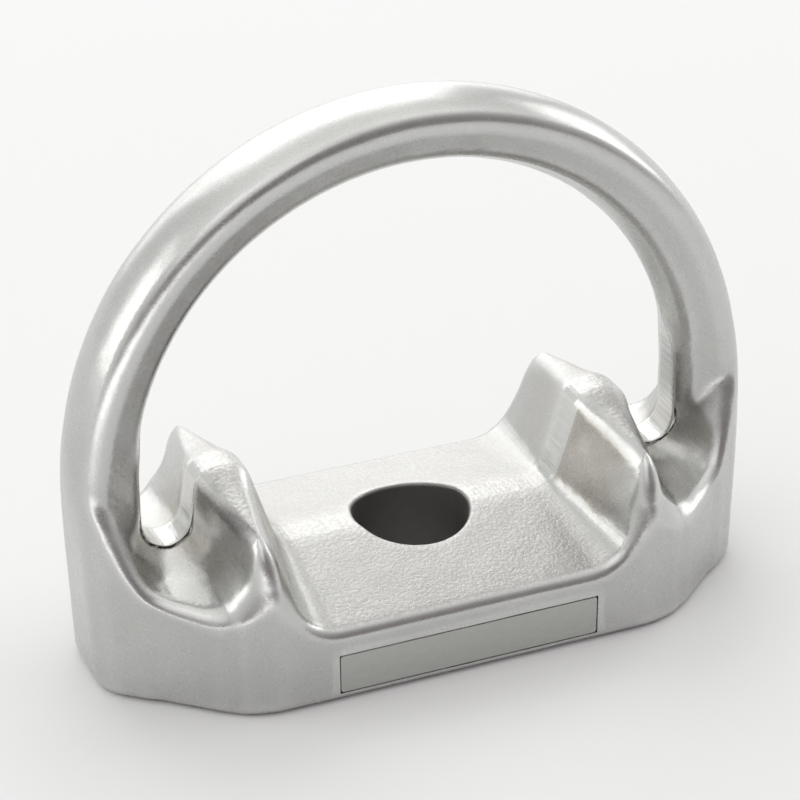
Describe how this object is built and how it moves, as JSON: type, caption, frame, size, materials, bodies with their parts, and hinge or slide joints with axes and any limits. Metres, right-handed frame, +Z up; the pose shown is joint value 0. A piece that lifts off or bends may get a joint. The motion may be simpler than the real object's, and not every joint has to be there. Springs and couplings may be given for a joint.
{
  "type": "roof anchor",
  "caption": "Forged stainless steel roof anchor: a D-shaped eye on a drilled base block with raised humps, fixed by a bolt down through the floor.",
  "frame": {"origin": "middle of the flat underside, on the bolt hole's axis", "axes": "+X along the base from leg to leg, +Y towards the back, away from the marking plate, +Z up towards the top of the eye"},
  "size_m": [0.0834, 0.0362, 0.0653],
  "materials": {
    "forged_body": "satin blasted stainless forging with a fine orange-peel grain",
    "marking_plate": "smooth satin stainless strip, left blank"
  },
  "bodies": {
    "root": {"forged_body": "forged_body", "marking_plate": "marking_plate"}
  },
  "joints": []
}
